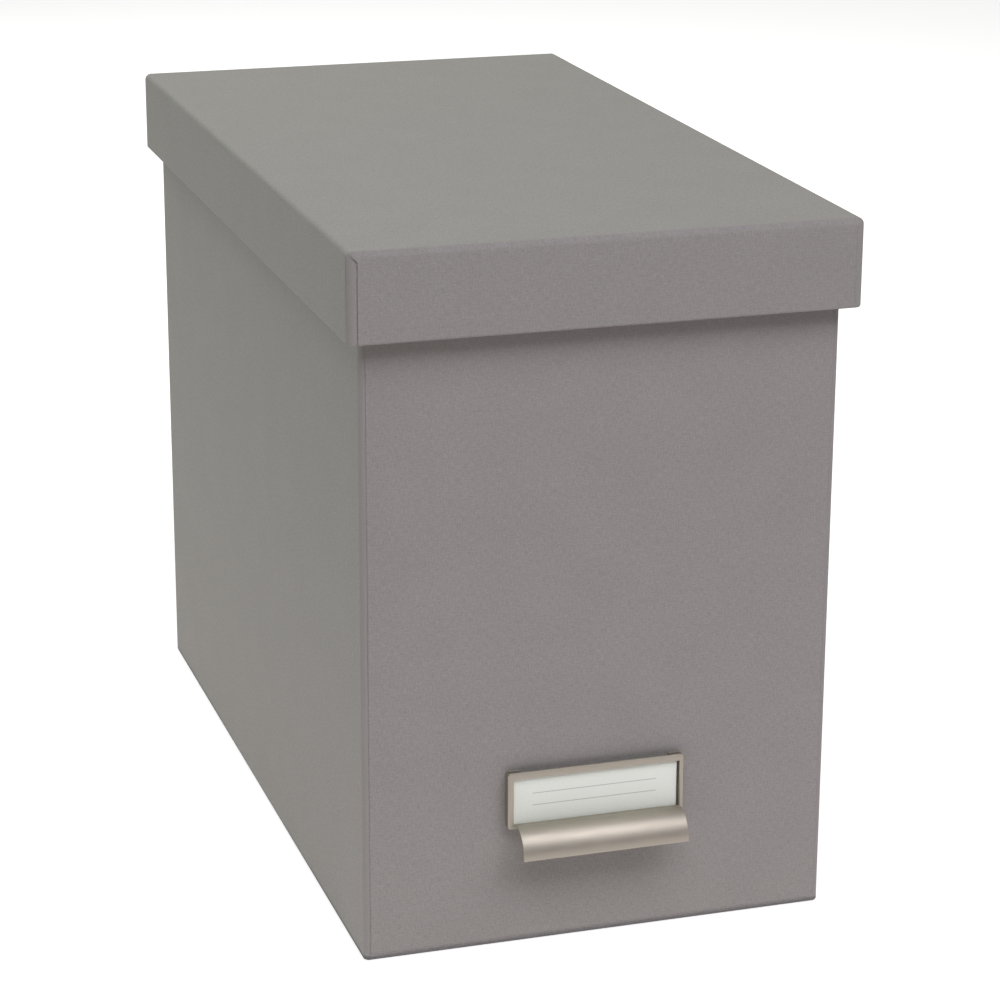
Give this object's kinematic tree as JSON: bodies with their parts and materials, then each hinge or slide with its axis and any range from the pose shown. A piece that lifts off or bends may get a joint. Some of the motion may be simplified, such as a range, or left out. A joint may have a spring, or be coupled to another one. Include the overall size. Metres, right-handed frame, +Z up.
{
  "type": "archival box",
  "caption": "Upright paper-covered board box for hanging files with a lift-off lid, inner steel file rails and a metal label holder with a pull lip.",
  "frame": {"origin": "centre of the underside of the body, on the surface it stands on", "axes": "+X across the width to the right seen from the label end, +Y along the depth from the label end to the back, +Z up"},
  "size_m": [0.19, 0.3579, 0.268],
  "materials": {
    "greyboard": "matte",
    "stay_tape": "matte",
    "cover_paper": "fine linen embossed, matte",
    "lining_paper": "smooth matte",
    "rail_steel": "zinc plated, satin",
    "rivet_steel": "nickel plated",
    "holder_metal": "satin nickel",
    "card_stock": null
  },
  "bodies": {
    "box": {"base_board": "greyboard", "left_board": "greyboard", "right_board": "greyboard", "front_board": "greyboard", "back_board": "greyboard", "corner_stays": "stay_tape", "left_cover": "cover_paper", "right_cover": "cover_paper", "front_edge_strip": "cover_paper", "back_edge_strip": "cover_paper", "front_cover": "cover_paper", "back_cover": "cover_paper", "base_cover": "cover_paper", "wall_lining": "lining_paper", "base_lining": "lining_paper", "front_rail": "rail_steel", "back_rail": "rail_steel", "rail_rivets": "rivet_steel", "label_holder": "holder_metal"},
    "lid": {"lid_top_board": "greyboard", "lid_left_board": "greyboard", "lid_right_board": "greyboard", "lid_front_board": "greyboard", "lid_back_board": "greyboard", "lid_corner_stays": "stay_tape", "lid_cover": "cover_paper", "lid_lining": "lining_paper"},
    "card": {"label_card": "card_stock"}
  },
  "joints": [
    {"name": "lid_lift", "type": "slide", "parent": "box", "child": "lid", "axis": [0, 0, 1], "range_m": [0, 0.15]},
    {"name": "card_slide", "type": "slide", "parent": "box", "child": "card", "axis": [0, 0, 1], "range_m": [0, 0.022]}
  ]
}
